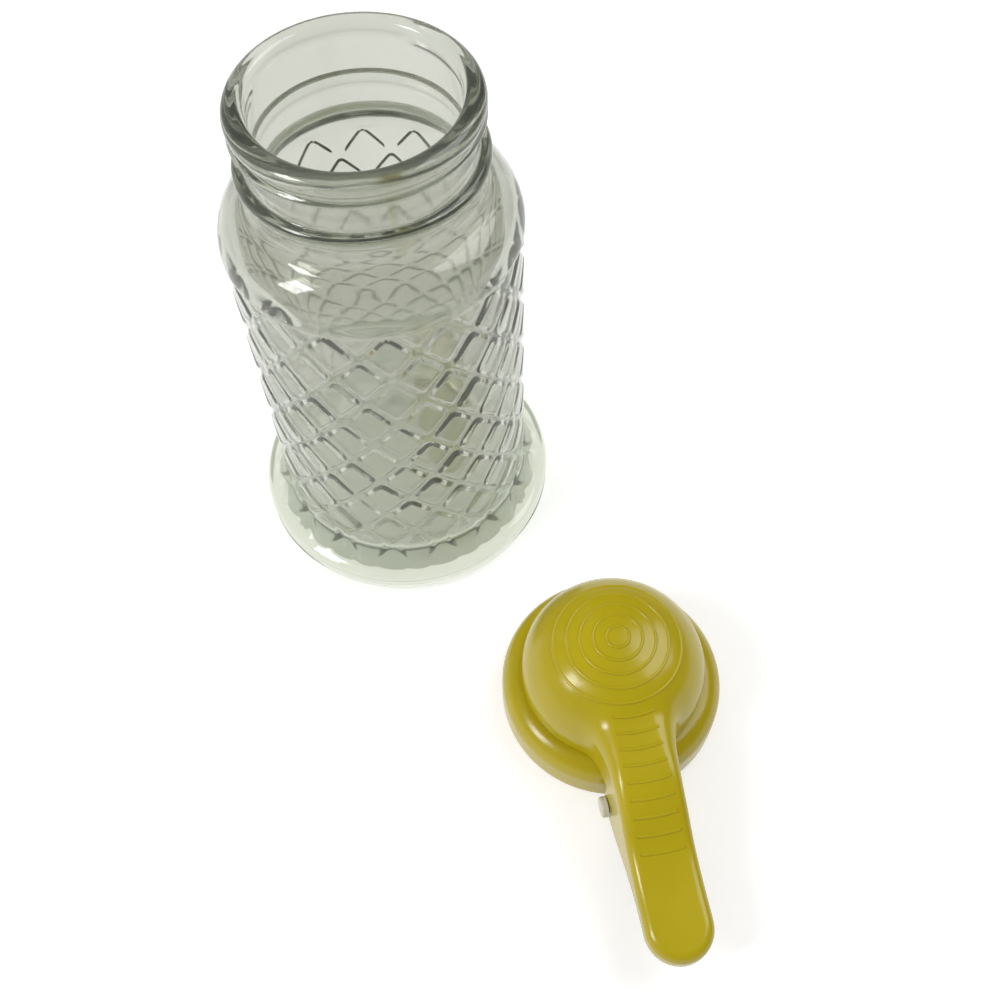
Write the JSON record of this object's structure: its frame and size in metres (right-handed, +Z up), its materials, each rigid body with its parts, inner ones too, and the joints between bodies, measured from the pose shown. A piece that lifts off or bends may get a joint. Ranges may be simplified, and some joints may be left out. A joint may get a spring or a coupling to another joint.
{
  "type": "syrup dispenser",
  "caption": "Quilted glass syrup jar with a screw-on pouring lid, taken off beside it, whose spring-closed domed cover opens by a ridged thumb lever.",
  "frame": {"origin": "centre of the jar's foot on the table", "axes": "+Z up the jar's axis; the lid lies on the table at -Y with its lever pointing along -Y"},
  "size_m": [0.1229, 0.2094, 0.15],
  "materials": {
    "glass": "clear moulded glass with a faint grey-green cast",
    "yellow_plastic": "glossy mustard yellow moulding",
    "natural_plastic": "natural, milky nylon",
    "seal": "soft white",
    "spring_steel": "drawn stainless wire"
  },
  "bodies": {
    "jar": {"glass_jar": "glass"},
    "lid": {"screw_collar": "yellow_plastic", "pour_spout": "yellow_plastic", "lip_gasket": "seal", "hinge_pin": "natural_plastic", "return_spring": "spring_steel"},
    "lever": {"lever_cover": "yellow_plastic", "pour_seal": "seal"}
  },
  "joints": [
    {"name": "lid_lift", "type": "slide", "parent": "jar", "child": "lid", "axis": [0, 0, 1], "range_m": [0, 0.12]},
    {"name": "lever_hinge", "type": "hinge", "parent": "lid", "child": "lever", "pos_m": [0.04831, -0.12079, 0.007], "axis": [0.9998, 0.0175, 0], "range_deg": [0, 18], "stiffness_Nm_per_rad": 0.05, "springref_deg": -20.05, "deforming": ["return_spring"]}
  ]
}
